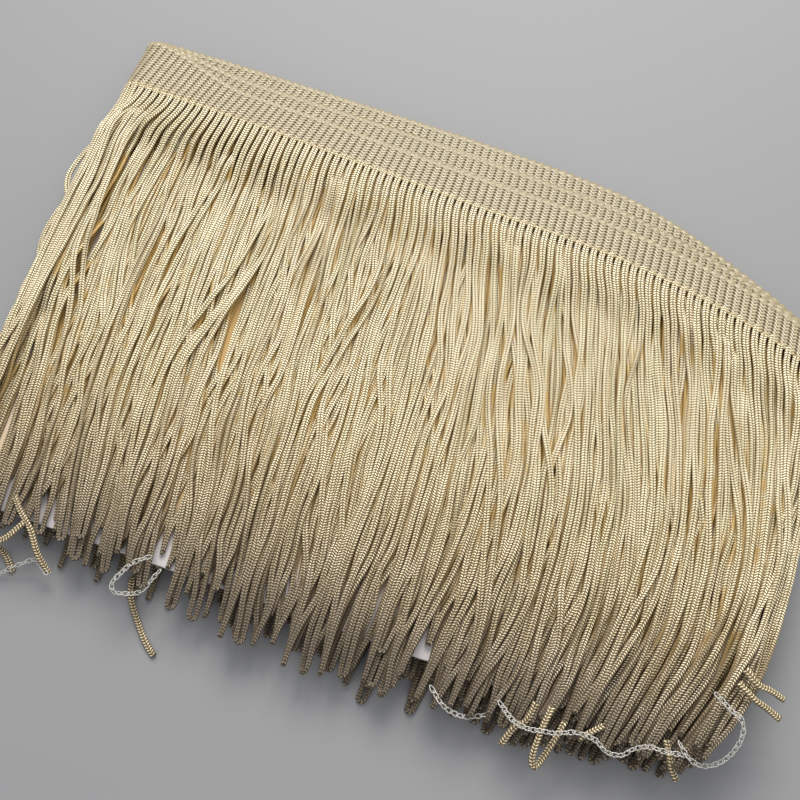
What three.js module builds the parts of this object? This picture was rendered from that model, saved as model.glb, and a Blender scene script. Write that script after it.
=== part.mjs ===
// Tassel fringe trim wound flat around a thin card.
// The knitted heading runs along +X and is wound about the Y axis; the strands hang towards -Y.
// The bundle lies on its back on the floor at z = 0. Lengths are in millimetres.
import * as THREE from 'three';

// Driving dimensions of the trim
const HEADING_WIDTH = 10.5; // knitted heading, across the tape; the whole trim is 150 wide
const STRAND_PITCH = 2.5; // one rib of the heading, and so one strand
const CORD_WIDTH = 1.9;
const CORD_THICKNESS = 1.3;
const PARTING = 0.3; // gap between pieces that touch on the real thing

// Driving dimensions of the card and of the winding on it
const CARD = { left: -112, right: 104, lower: -70, upper: 48, thickness: 1.0 };
const TURN_THICKNESS = 1.5; // one turn of heading
const TURNS = 4;
const WINDING_DEPTH = TURNS * TURN_THICKNESS;
const STRIP_DEPTH = 1.6; // band of heading that each row of strands hangs from
const SLOT_HALF = CARD.thickness / 2 + PARTING;
const CARD_HEIGHT = WINDING_DEPTH + SLOT_HALF; // middle of the card above the floor
const INNER_STRIP = { low: PARTING, high: 2 * TURN_THICKNESS - PARTING };
const OUTER_DEPTH = WINDING_DEPTH - CORD_THICKNESS / 2; // middle of the outer strands' strip

// Top selvedge of the turns from left to right: the inner two, the third and the outer one.
// The turns slip down past each other, and sag towards the right end of the card.
const SELVEDGE = [
  { x: -119, inner: 90, middle: 85, outer: 80 },
  { x: -65, inner: 89, middle: 83, outer: 77 },
  { x: 0, inner: 86, middle: 79.5, outer: 72 },
  { x: 40, inner: 82.5, middle: 76, outer: 69 },
  { x: 60, inner: 77, middle: 71.5, outer: 66 },
  { x: 76, inner: 70, middle: 66.5, outer: 62.5 },
  { x: 92, inner: 62, middle: 60, outer: 57.8 },
  { x: 104, inner: 55, middle: 53.8, outer: 52.6 },
  { x: 111, inner: 50, middle: 49.2, outer: 48.4 },
];

// Sideways lean of the front strands on their way down, as millimetres right per millimetre down
const LEAN = [
  { y: -90, left: 0.05, middle: 0, right: -0.05 },
  { y: -45, left: 0.05, middle: 0, right: -0.03 },
  { y: -15, left: 0.08, middle: 0.05, right: 0.04 },
  { y: 15, left: 0.04, middle: 0.1, right: 0.08 },
  { y: 45, left: -0.15, middle: 0.09, right: 0.12 },
  { y: 62, left: -0.36, middle: 0.05, right: 0.1 },
  { y: 90, left: -0.2, middle: 0, right: 0 },
];

// Height of the middle of a strand above the floor down the pile, and the strand's thickness
const FRONT_OUTER = [
  { y: -88, z: 2.6, thick: 1.1 },
  { y: -80, z: 5.6, thick: 1.1 },
  { y: -74, z: 9.4, thick: 1.2 },
  { y: -66, z: 10.8, thick: CORD_THICKNESS },
  { y: -45, z: 12.2, thick: CORD_THICKNESS },
  { y: 0, z: 13.5, thick: CORD_THICKNESS },
  { y: 36, z: 13.6, thick: CORD_THICKNESS },
  { y: 90, z: 13.1, thick: CORD_THICKNESS },
];
const FRONT_INNER = [
  { y: -80, z: 3.8, thick: 1.1 },
  { y: -74, z: 7.7, thick: 1.2 },
  { y: -70, z: 8.6, thick: 1.2 },
  { y: -64, z: 8.9, thick: 1.5 },
  { y: -30, z: 9.2, thick: 2.2 },
  { y: 90, z: 9.1, thick: 2.4 },
];
const NEIGHBOUR_STEP = 0.22; // every other front strand rides higher by twice this
const INNER_BACK = { rootZ: 4.5, restZ: 3.1, tipZ: 2.4, thick: 2.4, tipThick: 1.4 };
const TIP_LINE = -78; // mean end of the strands
const TIP_SCATTER = 3.2;

const fringeMaterial = () => new THREE.MeshStandardMaterial({
  color: 0xe6dab4,
  roughness: 0.55,
  metalness: 0,
});
const headingMaterial = () => new THREE.MeshStandardMaterial({
  color: 0xddd2ae,
  roughness: 0.65,
  metalness: 0,
});
const cardMaterial = () => new THREE.MeshStandardMaterial({
  color: 0xe9e4e4,
  roughness: 0.8,
  metalness: 0,
});

// Smooth value of one column of a table at a place, with flat ends
function along(table, key, column, place) {
  const last = table.length - 1;
  if (place <= table[0][key]) return table[0][column];
  if (place >= table[last][key]) return table[last][column];
  const i = table.findIndex((row) => row[key] > place) - 1;
  const slope = (j) => {
    const a = table[Math.max(j - 1, 0)];
    const b = table[Math.min(j + 1, last)];
    return (b[column] - a[column]) / (b[key] - a[key]);
  };
  const span = table[i + 1][key] - table[i][key];
  const t = (place - table[i][key]) / span;
  const ease = t * t * (3 - 2 * t);
  const start = t * (1 - t) * (1 - t) * span * slope(i);
  const end = t * t * (t - 1) * span * slope(i + 1);
  return table[i][column] * (1 - ease) + table[i + 1][column] * ease + start + end;
}

// Straight interpolation down a pile table, so that floors and card edges stay cleared
function level(table, column, y) {
  const last = table.length - 1;
  if (y <= table[0].y) return table[0][column];
  if (y >= table[last].y) return table[last][column];
  const i = table.findIndex((row) => row.y > y) - 1;
  const t = (y - table[i].y) / (table[i + 1].y - table[i].y);
  return THREE.MathUtils.lerp(table[i][column], table[i + 1][column], t);
}

// Place on the flat-oval winding: girth runs from the left end of the front to its right end,
// then on around the bends. depth is the distance out from the slot that holds the card.
// Further down the pile the bend is tighter, and lower, at the same angle.
function onWinding(girth, depth, side, bendRadius = SLOT_HALF + depth, height = CARD_HEIGHT) {
  const width = CARD.right - CARD.left;
  const x = CARD.left + THREE.MathUtils.clamp(girth, 0, width);
  const excess = girth - THREE.MathUtils.clamp(girth, 0, width);
  const angle = excess / (SLOT_HALF + depth);
  const normal = new THREE.Vector3(Math.sin(angle), 0, side * Math.cos(angle));
  const tangent = new THREE.Vector3(Math.cos(angle), 0, -side * Math.sin(angle));
  const point = new THREE.Vector3(x, 0, height).addScaledVector(normal, bendRadius);
  return { point, normal, tangent };
}

// Closed triangle mesh from points and triangles, turned so that its faces point out
function closedMesh(name, points, triangles, material) {
  let volume = 0;
  for (const [a, b, c] of triangles) {
    volume += points[a].clone().cross(points[b]).dot(points[c]) / 6;
  }
  const outward = volume > 0 ? triangles : triangles.map(([a, b, c]) => [a, c, b]);
  const geometry = new THREE.BufferGeometry();
  const flat = points.flatMap((p) => [p.x, p.y, p.z]);
  geometry.setAttribute('position', new THREE.Float32BufferAttribute(flat, 3));
  geometry.setIndex(outward.flat());
  geometry.computeVertexNormals();
  const mesh = new THREE.Mesh(geometry, material);
  mesh.name = name;
  return mesh;
}

// The two triangles of a quad with its corners in order
function quad(a, b, c, d) {
  return [[a, b, c], [a, c, d]];
}

// Heading

// Stepped section of the wound heading: depth out from the card, and height y
function headingSection(x) {
  const inner = along(SELVEDGE, 'x', 'inner', x);
  const middle = along(SELVEDGE, 'x', 'middle', x);
  const outer = along(SELVEDGE, 'x', 'outer', x);
  const third = 2 * TURN_THICKNESS;
  const fourth = 3 * TURN_THICKNESS;
  return [
    { depth: 0, y: inner - HEADING_WIDTH },
    { depth: third, y: inner - HEADING_WIDTH },
    { depth: third, y: middle - HEADING_WIDTH },
    { depth: fourth, y: middle - HEADING_WIDTH },
    { depth: fourth, y: outer - HEADING_WIDTH },
    { depth: WINDING_DEPTH, y: outer - HEADING_WIDTH },
    { depth: WINDING_DEPTH, y: outer },
    { depth: fourth, y: outer },
    { depth: fourth, y: middle },
    { depth: third, y: middle },
    { depth: third, y: inner },
    { depth: 0, y: inner },
  ];
}

// Bend angles and straight places of the ring's sections, once round
function ringStations(straightCount, bendCount) {
  const width = CARD.right - CARD.left;
  const stations = [];
  for (let i = 0; i <= straightCount; i += 1) {
    stations.push({ x: CARD.left + (width * i) / straightCount, angle: 0 });
  }
  for (let i = 1; i < bendCount; i += 1) {
    stations.push({ x: CARD.right, angle: (Math.PI * i) / bendCount });
  }
  for (let i = straightCount; i >= 0; i -= 1) {
    stations.push({ x: CARD.left + (width * i) / straightCount, angle: Math.PI });
  }
  for (let i = 1; i < bendCount; i += 1) {
    stations.push({ x: CARD.left, angle: Math.PI + (Math.PI * i) / bendCount });
  }
  return stations;
}

function headingRoll() {
  const points = [];
  const triangles = [];
  const stations = ringStations(36, 8);
  const corners = headingSection(0).length;
  for (const { x, angle } of stations) {
    for (let j = 0; j < corners; j += 1) {
      const radius = SLOT_HALF + headingSection(x)[j].depth;
      const px = x + radius * Math.sin(angle);
      const pz = CARD_HEIGHT + radius * Math.cos(angle);
      points.push(new THREE.Vector3(px, headingSection(px)[j].y, pz));
    }
  }
  for (let i = 0; i < stations.length; i += 1) {
    const next = (i + 1) % stations.length;
    for (let j = 0; j < corners; j += 1) {
      const after = (j + 1) % corners;
      const here = i * corners;
      const there = next * corners;
      triangles.push(...quad(here + j, here + after, there + after, there + j));
    }
  }
  return closedMesh('heading_roll', points, triangles, headingMaterial());
}

// Fringe

// Slow sideways gathering that the strands share, in millimetres
function gathering(x, y, root) {
  const down = THREE.MathUtils.clamp((root - y) / 40, 0, 1);
  const broad = 0.55 * Math.sin(x / 9 + y / 24);
  const fine = 0.3 * Math.sin(x / 5.3 - y / 13 + 1);
  return down * (broad + fine);
}

// Sideways travel of a front strand from its root down to y
function travel(girth, root, y) {
  const share = girth / (CARD.right - CARD.left);
  const step = 2;
  let shift = 0;
  for (let at = root; at > y; at -= step) {
    const reach = Math.min(step, at - y);
    const left = along(LEAN, 'y', 'left', at);
    const middle = along(LEAN, 'y', 'middle', at);
    const right = along(LEAN, 'y', 'right', at);
    const side = share < 0.35
      ? THREE.MathUtils.lerp(left, middle, THREE.MathUtils.clamp(share / 0.35, 0, 1))
      : THREE.MathUtils.lerp(middle, right, THREE.MathUtils.clamp((share - 0.35) / 0.5, 0, 1));
    shift += side * reach;
  }
  return shift;
}

// Comb of strands on one narrow strip. Each strand is a list of frames from its root to its tip,
// and a frame holds its middle, the half vector across and the half vector through the cord.
function comb(name, strands, stripBack) {
  const points = [];
  const triangles = [];
  const addFrame = ({ centre, across, through }) => {
    const first = points.length;
    points.push(centre.clone().sub(across).sub(through));
    points.push(centre.clone().add(across).sub(through));
    points.push(centre.clone().add(across).add(through));
    points.push(centre.clone().sub(across).add(through));
    return first;
  };
  const addTube = (a, b) => {
    for (let j = 0; j < 4; j += 1) {
      const k = (j + 1) % 4;
      triangles.push(...quad(a + j, a + k, b + k, b + j));
    }
  };
  const back = new THREE.Vector3(0, stripBack, 0);
  let previous = null;
  for (const frames of strands) {
    const root = addFrame(frames[0]);
    const rear = addFrame({ ...frames[0], centre: frames[0].centre.clone().add(back) });
    let ring = root;
    for (const frame of frames.slice(1)) {
      const next = addFrame(frame);
      addTube(ring, next);
      ring = next;
    }
    triangles.push(...quad(ring, ring + 1, ring + 2, ring + 3));
    triangles.push(...quad(rear + 3, rear + 2, rear + 1, rear));
    triangles.push(...quad(rear, rear + 1, root + 1, root));
    triangles.push(...quad(root + 3, root + 2, rear + 2, rear + 3));
    if (previous) {
      const { root: r, rear: b } = previous;
      triangles.push(...quad(b + 1, rear, root, r + 1));
      triangles.push(...quad(r + 2, root + 3, rear + 3, b + 2));
      triangles.push(...quad(r + 1, root, root + 3, r + 2));
      triangles.push(...quad(b + 2, rear + 3, rear, b + 1));
    } else {
      triangles.push(...quad(rear, root, root + 3, rear + 3));
    }
    previous = { root, rear };
  }
  const { root: r, rear: b } = previous;
  triangles.push(...quad(r + 1, b + 1, b + 2, r + 2));
  return closedMesh(name, points, triangles, fringeMaterial());
}

// Even places along the girth between two ends
function places(from, to, pitch) {
  const count = Math.round((to - from) / pitch);
  return Array.from({ length: count + 1 }, (_, i) => from + ((to - from) * i) / count);
}

// Y of the strip that strands hang from, below one band of the heading
function rootLine(x, band) {
  return along(SELVEDGE, 'x', band, x) - HEADING_WIDTH - PARTING - STRIP_DEPTH;
}

// Half vector across a root, turned to follow the sloping strip
function alongStrip(tangent, x, band) {
  const run = (tangent.x * CORD_WIDTH) / 2;
  const fall = rootLine(x + run, band) - rootLine(x - run, band);
  return tangent.clone().multiplyScalar(CORD_WIDTH / 2).setY(fall / 2);
}

// Frame of a strand that lies level, its first one turned to follow the strip
function levelFrame(x, y, z, thick, band) {
  const sideways = new THREE.Vector3(1, 0, 0);
  return {
    centre: new THREE.Vector3(x, y, z),
    across: band ? alongStrip(sideways, x, band) : sideways.multiplyScalar(CORD_WIDTH / 2),
    through: new THREE.Vector3(0, 0, thick / 2),
  };
}

// Frame of a strand that lies on the bend round the end of the card
function bendFrame({ point, tangent, normal }, y, width, thick, band) {
  return {
    centre: point.clone().setY(y),
    across: band ? alongStrip(tangent, point.x, band) : tangent.clone().multiplyScalar(width / 2),
    through: normal.clone().multiplyScalar(thick / 2),
  };
}

// End of a strand, scattered a little from one to the next
function tipOf(index) {
  return TIP_LINE + TIP_SCATTER * (2 * THREE.MathUtils.seededRandom(index) - 1);
}

function frontOuterStrand(girth, index) {
  const start = onWinding(girth, OUTER_DEPTH, 1);
  const root = rootLine(start.point.x, 'outer');
  const frames = [bendFrame(start, root, CORD_WIDTH, CORD_THICKNESS, 'outer')];
  for (const y of [root - 9, root - 27, -20, -66, -74, tipOf(index)]) {
    const shift = travel(girth, root, y) + gathering(start.point.x, y, root);
    const step = y < root - 9 && y > CARD.lower ? NEIGHBOUR_STEP * (-1) ** index : 0;
    const rise = level(FRONT_OUTER, 'z', y) + step;
    const bendRadius = Math.min(SLOT_HALF + OUTER_DEPTH, 0.46 * rise);
    const place = onWinding(girth + shift, OUTER_DEPTH, 1, bendRadius, rise - bendRadius);
    const onBend = Math.abs(place.normal.x) > 0;
    const narrow = onBend ? (0.95 * bendRadius) / (SLOT_HALF + OUTER_DEPTH) : 1;
    frames.push(bendFrame(place, y, narrow * CORD_WIDTH, level(FRONT_OUTER, 'thick', y)));
  }
  return frames;
}

function frontInnerStrand(girth, index) {
  const x = CARD.left + girth;
  const root = rootLine(x, 'inner');
  const top = CARD_HEIGHT + SLOT_HALF;
  const stripZ = top + (INNER_STRIP.low + INNER_STRIP.high) / 2;
  const frames = [levelFrame(x, root, stripZ, INNER_STRIP.high - INNER_STRIP.low, 'inner')];
  for (const y of [-30, -64, -70, -74, tipOf(index + 200) + 1.5]) {
    const shift = 0.5 * travel(girth, root, y) + gathering(x + 20, y, root);
    const height = level(FRONT_INNER, 'z', y);
    frames.push(levelFrame(x + shift, y, height, level(FRONT_INNER, 'thick', y)));
  }
  return frames;
}

function backOuterStrand(girth, index) {
  const start = onWinding(girth, OUTER_DEPTH, -1);
  const root = rootLine(start.point.x, 'outer');
  const excess = girth - THREE.MathUtils.clamp(girth, 0, CARD.right - CARD.left);
  const frames = [bendFrame(start, root, CORD_WIDTH, CORD_THICKNESS, 'outer')];
  for (const y of [root - 24, -16, tipOf(index + 400)]) {
    const x = start.point.x + 0.35 * excess + gathering(start.point.x + 50, y, root);
    const onFloor = levelFrame(x, y, CORD_THICKNESS / 2, CORD_THICKNESS);
    frames.push({ ...onFloor, through: onFloor.through.negate() });
  }
  return frames;
}

function backInnerStrand(girth, index) {
  const x = CARD.left + girth;
  const root = rootLine(x, 'inner');
  const { rootZ, restZ, tipZ, thick, tipThick } = INNER_BACK;
  const shifted = (y) => x + gathering(x + 80, y, root);
  const tip = tipOf(index + 600) + 2;
  return [
    levelFrame(x, root, rootZ, thick, 'inner'),
    levelFrame(shifted(root - 14), root - 14, rootZ, thick),
    levelFrame(shifted(root - 34), root - 34, restZ, thick),
    levelFrame(shifted(tip), tip, tipZ, tipThick),
  ];
}

function row(name, strand, from, to, pitch) {
  const strands = places(from, to, pitch).map((girth, index) => strand(girth, index));
  return comb(name, strands, STRIP_DEPTH);
}

// Card

function card() {
  const width = CARD.right - CARD.left;
  const height = CARD.upper - CARD.lower;
  const geometry = new THREE.BoxGeometry(width, height, CARD.thickness);
  const mesh = new THREE.Mesh(geometry, cardMaterial());
  mesh.position.set(CARD.left + width / 2, CARD.lower + height / 2, CARD_HEIGHT);
  mesh.name = 'card_core';
  return mesh;
}

// Assembly, moved so that the origin is the middle of its box on the floor
const WIDTH = CARD.right - CARD.left;
const trim = new THREE.Group();
trim.name = 'tassel_fringe_trim';
trim.add(card());
trim.add(headingRoll());
trim.add(row('fringe_front_outer', frontOuterStrand, -5.5, WIDTH + 4.5, STRAND_PITCH));
trim.add(row('fringe_front_inner', frontInnerStrand, 4, WIDTH - 4, 1.8 * STRAND_PITCH));
trim.add(row('fringe_back_outer', backOuterStrand, -5, WIDTH + 5, 1.1 * STRAND_PITCH));
trim.add(row('fringe_back_inner', backInnerStrand, 6, WIDTH - 6, 2 * STRAND_PITCH));
trim.updateMatrixWorld(true);
const box = new THREE.Box3().setFromObject(trim, true);
trim.position.set(-(box.min.x + box.max.x) / 2, -(box.min.y + box.max.y) / 2, -box.min.z);
trim.updateMatrixWorld(true);

export default trim;
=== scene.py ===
# %% [markdown]
# A long tassel fringe, the kind that trims lampshades and dance dresses, is one knitted tape with
# soft cords hanging from it. Here it is wound four times round a flat card and lies on its back.
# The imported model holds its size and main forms, so it is loaded first and nothing in it is moved.

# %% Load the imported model
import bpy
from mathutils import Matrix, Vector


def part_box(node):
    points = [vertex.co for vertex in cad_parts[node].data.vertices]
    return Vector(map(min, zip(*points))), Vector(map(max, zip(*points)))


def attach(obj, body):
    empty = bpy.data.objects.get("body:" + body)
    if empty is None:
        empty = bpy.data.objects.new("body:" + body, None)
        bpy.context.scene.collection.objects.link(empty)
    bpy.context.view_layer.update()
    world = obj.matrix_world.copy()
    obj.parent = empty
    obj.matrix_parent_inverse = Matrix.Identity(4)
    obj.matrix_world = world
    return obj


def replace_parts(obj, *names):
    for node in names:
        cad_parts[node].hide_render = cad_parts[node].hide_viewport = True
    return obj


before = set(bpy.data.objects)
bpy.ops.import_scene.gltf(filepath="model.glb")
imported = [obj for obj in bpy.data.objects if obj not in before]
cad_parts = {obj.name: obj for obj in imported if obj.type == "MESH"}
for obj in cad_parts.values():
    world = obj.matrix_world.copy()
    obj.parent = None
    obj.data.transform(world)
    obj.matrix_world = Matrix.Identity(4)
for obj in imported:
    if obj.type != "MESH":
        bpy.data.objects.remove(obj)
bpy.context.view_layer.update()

# %% [markdown]
# A maker thinks of such a trim in millimetres along the card, down the cords and up off the floor.
# The whole script works in that drawing frame, and one shift carries it to the model's own frame.
# The shift is read off the card, whose place in the drawing is known.

# %% The drawing's measures
import math
import bpy
import numpy as np
from mathutils import Vector

MM = 0.001
CARD_LEFT, CARD_RIGHT, CARD_LOWER, CARD_UPPER = -112.0, 104.0, -70.0, 48.0
card_low, card_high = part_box("card_core")
SHIFT = np.array([card_low.x / MM - CARD_LEFT, card_low.y / MM - CARD_LOWER, 0.0])
CARD_TOP = card_high.z / MM
CARD_UNDER = card_low.z / MM
CARD_MIDDLE = (CARD_TOP + CARD_UNDER) / 2


def to_row(points):
    """Drawing millimetres to the model's metres."""
    return (np.asarray(points, float) + SHIFT) * MM


print("shift to the model's frame, mm:", SHIFT.round(3))

# %% [markdown]
# Camera first, because every later choice of detail depends on how large things show. The bundle is
# seen from above its cords, turned a little, from about a third of a metre away.

# %% Camera
AZIMUTH, ELEVATION = math.radians(19.7), math.radians(64)
DISTANCE = 343.0
camera_data = bpy.data.cameras.new("camera")
camera_data.lens, camera_data.sensor_width = 54.0, 36.0
camera_data.clip_start = 0.01
camera = bpy.data.objects.new("camera", camera_data)
bpy.context.scene.collection.objects.link(camera)
toward_camera = Vector((
    math.sin(AZIMUTH) * math.cos(ELEVATION),
    -math.cos(AZIMUTH) * math.cos(ELEVATION),
    math.sin(ELEVATION),
))
aim = Vector(to_row([0, 0, 0]))
camera.location = aim + toward_camera * DISTANCE * MM
camera.rotation_euler = (-toward_camera).to_track_quat("-Z", "Y").to_euler()
bpy.context.scene.camera = camera
print("camera at", [round(c, 3) for c in camera.location])

# %% [markdown]
# Many values here change slowly along the card or down the cords: the top edge of each turn, the
# lean of the cords, the outline of the pile. Each is a short table and a smooth curve through it.
# The curve is the same one that shaped the solid heading, so the finer heading fits on it.


# %% Smooth tables
def smooth(places, values, at):
    places, values, at = (np.asarray(v, float) for v in (places, values, at))
    last = len(places) - 1
    before, after = np.maximum(np.arange(last + 1) - 1, 0), np.minimum(np.arange(last + 1) + 1, last)
    slope = (values[after] - values[before]) / (places[after] - places[before])
    at = np.clip(at, places[0], places[-1])
    i = np.clip(np.searchsorted(places, at, side="right") - 1, 0, last - 1)
    span = places[i + 1] - places[i]
    t = (at - places[i]) / span
    ease = t * t * (3 - 2 * t)
    bend = t * (1 - t) ** 2 * span * slope[i] + t * t * (t - 1) * span * slope[i + 1]
    return values[i] * (1 - ease) + values[i + 1] * ease + bend


def ramp(value, start, end):
    """0 before start, 1 after end, and an easy turn between them."""
    t = np.clip((value - start) / (end - start), 0, 1)
    return t * t * (3 - 2 * t)


print("an easy ramp from 0 to 10, at 2 and 5:", ramp(np.array([2, 5]), 0, 10).round(3))

# %% [markdown]
# The tape. Its turns slip down past each other, and sag towards the right end of the card, so each
# has its own top edge. It is one long strip: it starts under everything at the left end, goes round
# and round, climbs one thickness on the back of each turn, and ends underneath, flat on the floor.

# %% Route of the tape
HEADING_WIDTH = 10.5
PITCH = 2.5  # one rib of the tape, and so one cord
TURN_THICKNESS = 1.5
TURNS = 4
SLOT_HALF = (CARD_TOP - CARD_UNDER) / 2 + 0.3  # from the card's middle to the first turn
STRAIGHT_POINTS, ROUND_POINTS = 109, 25
SELVEDGE_PLACES = [-119, -65, 0, 40, 60, 76, 92, 104, 111]
SELVEDGES = {  # height of the top edge at those places
    "inner": [90, 89, 86, 82.5, 77, 70, 62, 55, 50],
    "third": [85, 83, 79.5, 76, 71.5, 66.5, 60, 53.8, 49.2],
    "outer": [80, 77, 72, 69, 66, 62.5, 57.8, 52.6, 48.4],
}
LAST_END = -4.0  # the cut end of the last turn, on the back
CLIMB = (-30.0, -104.0)  # where the tape climbs to the next turn, on the back
BEND_RISE = 2.6  # at the left end the back of each turn has ridden up past the front


def tape_route():
    """Points x, z and turn number along the middle of the tape, close together."""
    pieces = []
    angles = np.linspace(0, math.pi, ROUND_POINTS)
    for turn in range(TURNS):
        radius = SLOT_HALF + (turn + 0.5) * TURN_THICKNESS
        front = np.linspace(CARD_LEFT, CARD_RIGHT, STRAIGHT_POINTS)
        pieces.append((front, np.full_like(front, CARD_MIDDLE + radius), np.full_like(front, turn)))
        round_right = (CARD_RIGHT + radius * np.sin(angles), CARD_MIDDLE + radius * np.cos(angles))
        pieces.append((*round_right, np.full_like(angles, turn)))
        back_end = LAST_END if turn == TURNS - 1 else CARD_LEFT
        back = np.linspace(CARD_RIGHT, back_end, STRAIGHT_POINTS)
        climb = ramp(back, *CLIMB) if turn < TURNS - 1 else 0 * back
        pieces.append((back, CARD_MIDDLE - radius - climb * TURN_THICKNESS, turn + climb))
        if turn < TURNS - 1:
            radius += TURN_THICKNESS
            round_left = (CARD_LEFT - radius * np.sin(angles), CARD_MIDDLE - radius * np.cos(angles))
            pieces.append((*round_left, np.full_like(angles, turn + 1)))
    x, z, turn = (np.concatenate([p[i] for p in pieces]) for i in range(3))
    steps = np.hypot(np.diff(x), np.diff(z))
    keep = np.r_[True, steps > 1e-6]
    x, z, turn = x[keep], z[keep], turn[keep]
    girth = np.r_[0, np.cumsum(np.hypot(np.diff(x), np.diff(z)))]
    return girth, x, z, turn


route_girth, route_x, route_z, route_turn = tape_route()
TAPE_LENGTH = route_girth[-1]
print("tape length, mm:", round(TAPE_LENGTH, 1))

# %% [markdown]
# Any point of the tape is found from how far round it lies, how far down from its top edge and how
# far out from its middle. The knitted heading and the roots of the cords both ask here, so they stay
# together however the turns slip.


# %% Points on the tape
def on_tape(girth, down=0.0, out=0.0):
    """Point of the tape at a girth, and the way out from its face there."""
    girth = np.clip(girth, 0, TAPE_LENGTH)
    x, z, turn = (np.interp(girth, route_girth, v) for v in (route_x, route_z, route_turn))
    ahead, behind = np.minimum(girth + 0.4, TAPE_LENGTH), np.maximum(girth - 0.4, 0)
    along_x = np.interp(ahead, route_girth, route_x) - np.interp(behind, route_girth, route_x)
    along_z = np.interp(ahead, route_girth, route_z) - np.interp(behind, route_girth, route_z)
    length = np.hypot(along_x, along_z)
    out_x, out_z = -along_z / length, along_x / length
    edges = [smooth(SELVEDGE_PLACES, SELVEDGES[name], x) for name in ("inner", "third", "outer")]
    top = edges[0] + (edges[1] - edges[0]) * np.clip(turn - 1, 0, 1)
    top = top + (edges[2] - edges[1]) * np.clip(turn - 2, 0, 1) - 0.8 * np.clip(1 - turn, 0, 1)
    top = top + BEND_RISE * ramp(-x, 92, 112) * ramp(-z, -CARD_MIDDLE - 2, -CARD_MIDDLE + 2)
    point = np.stack([x + out_x * out, top - down, z + out_z * out], -1)
    return point, np.stack([out_x, 0 * out_x, out_z], -1)


print("the tape's top edge starts at, mm:", on_tape(0.0)[0].round(1))

# %% [markdown]
# A mesh of this kind is a grid of points, rolled into a tube or left as a strip. Filling Blender's
# mesh from whole arrays is fast enough for hundreds of cords, where adding faces one by one isn't.
# Each point also carries a few numbers that the materials read, such as its place along the cord.


# %% Mesh from arrays
def mesh_object(name, points, faces, values, slot_name, paint):
    """points n x 3 in drawing mm, faces m x 4 (a repeated last corner makes a triangle)."""
    faces = np.asarray(faces)
    is_triangle = faces[:, 2] == faces[:, 3]
    corners = np.where(is_triangle, 3, 4)
    starts = np.r_[0, np.cumsum(corners)[:-1]]
    keep = np.ones(faces.shape, bool)
    keep[is_triangle, 3] = False
    mesh = bpy.data.meshes.new(name)
    mesh.vertices.add(len(points))
    mesh.vertices.foreach_set("co", to_row(points).astype(np.float32).ravel())
    mesh.loops.add(int(corners.sum()))
    mesh.loops.foreach_set("vertex_index", faces[keep].astype(np.int32))
    mesh.polygons.add(len(faces))
    mesh.polygons.foreach_set("loop_start", starts.astype(np.int32))
    mesh.polygons.foreach_set("use_smooth", np.ones(len(faces), bool))
    mesh.materials.append(paint)
    mesh.update(calc_edges=True)
    for label, data in values.items():
        layer = mesh.attributes.new(label, "FLOAT", "POINT")
        layer.data.foreach_set("value", np.asarray(data, np.float32))
    mesh.validate()
    piece = bpy.data.objects.new(name, mesh)
    bpy.context.scene.collection.objects.link(piece)
    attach(piece, "root")
    print(name, "has", int((corners - 2).sum()), "triangles")
    return piece


# %% [markdown]
# Shader sums read best as sums. This small class wraps one socket of a node tree, so that
# `0.5 - wave * 2` adds the Math nodes it needs, and `node` adds any other node in one line. The
# helpers below it start a material, read a number that the points carry, and give noise and bump.

# %% Shader sums
class Socket:
    """One output of a node, to be used in sums."""

    def __init__(self, tree, socket):
        self.tree, self.socket = tree, socket

    def feed(self, target, value):
        """Link a socket, or set a plain value."""
        if isinstance(value, Socket):
            self.tree.links.new(value.socket, target)
        else:
            target.default_value = value

    def node(self, kind, settings=None, **inputs):
        made = self.tree.nodes.new(kind)
        for key, value in (settings or {}).items():
            setattr(made, key, value)
        for key, value in inputs.items():
            self.feed(made.inputs[key.replace("_", " ")], value)
        return made

    def math(self, operation, *values):
        made = self.node("ShaderNodeMath", {"operation": operation})
        for target, value in zip(made.inputs, values):
            self.feed(target, value)
        return Socket(self.tree, made.outputs[0])

    def __add__(self, other):
        return self.math("ADD", self, other)

    def __radd__(self, other):
        return self.math("ADD", other, self)

    def __sub__(self, other):
        return self.math("SUBTRACT", self, other)

    def __rsub__(self, other):
        return self.math("SUBTRACT", other, self)

    def __mul__(self, other):
        return self.math("MULTIPLY", self, other)

    def __rmul__(self, other):
        return self.math("MULTIPLY", other, self)

    def __truediv__(self, other):
        return self.math("DIVIDE", self, other)

    def __rtruediv__(self, other):
        return self.math("DIVIDE", other, self)

    def __pow__(self, other):
        return self.math("POWER", self, other)

    def __rpow__(self, other):
        return self.math("POWER", other, self)

    def absolute(self):
        return self.math("ABSOLUTE", self)

    def sine(self):
        return self.math("SINE", self)

    def wave(self):
        """A sine that swings from 0 to 1."""
        return (self.sine() + 1) * 0.5

    def between(self, low, high):
        """0 below low, 1 above high, smooth between."""
        made = self.node("ShaderNodeMapRange", {"interpolation_type": "SMOOTHSTEP"},
                         Value=self, From_Min=low, From_Max=high)
        return Socket(self.tree, made.outputs["Result"])

    def tint(self, low, high):
        """Colour low at 0 and colour high at 1."""
        made = self.node("ShaderNodeMix", {"data_type": "RGBA"})
        self.feed(made.inputs[0], self)
        for target, value in ((made.inputs[6], low), (made.inputs[7], high)):
            self.feed(target, value if isinstance(value, Socket) else (*value, 1.0))
        return Socket(self.tree, made.outputs[2])


def material(name, **constants):
    """A material with its shader's constants set; returns it with a starting socket."""
    made = bpy.data.materials.new(name)
    made.use_nodes = True
    shader = made.node_tree.nodes["Principled BSDF"]
    for key, value in constants.items():
        shader.inputs[key.replace("_", " ")].default_value = value
    return made, shader, Socket(made.node_tree, None)


def read(start, name):
    """A number that the mesh's points carry."""
    made = start.node("ShaderNodeAttribute", {"attribute_name": name})
    return Socket(start.tree, made.outputs["Fac"])


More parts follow.
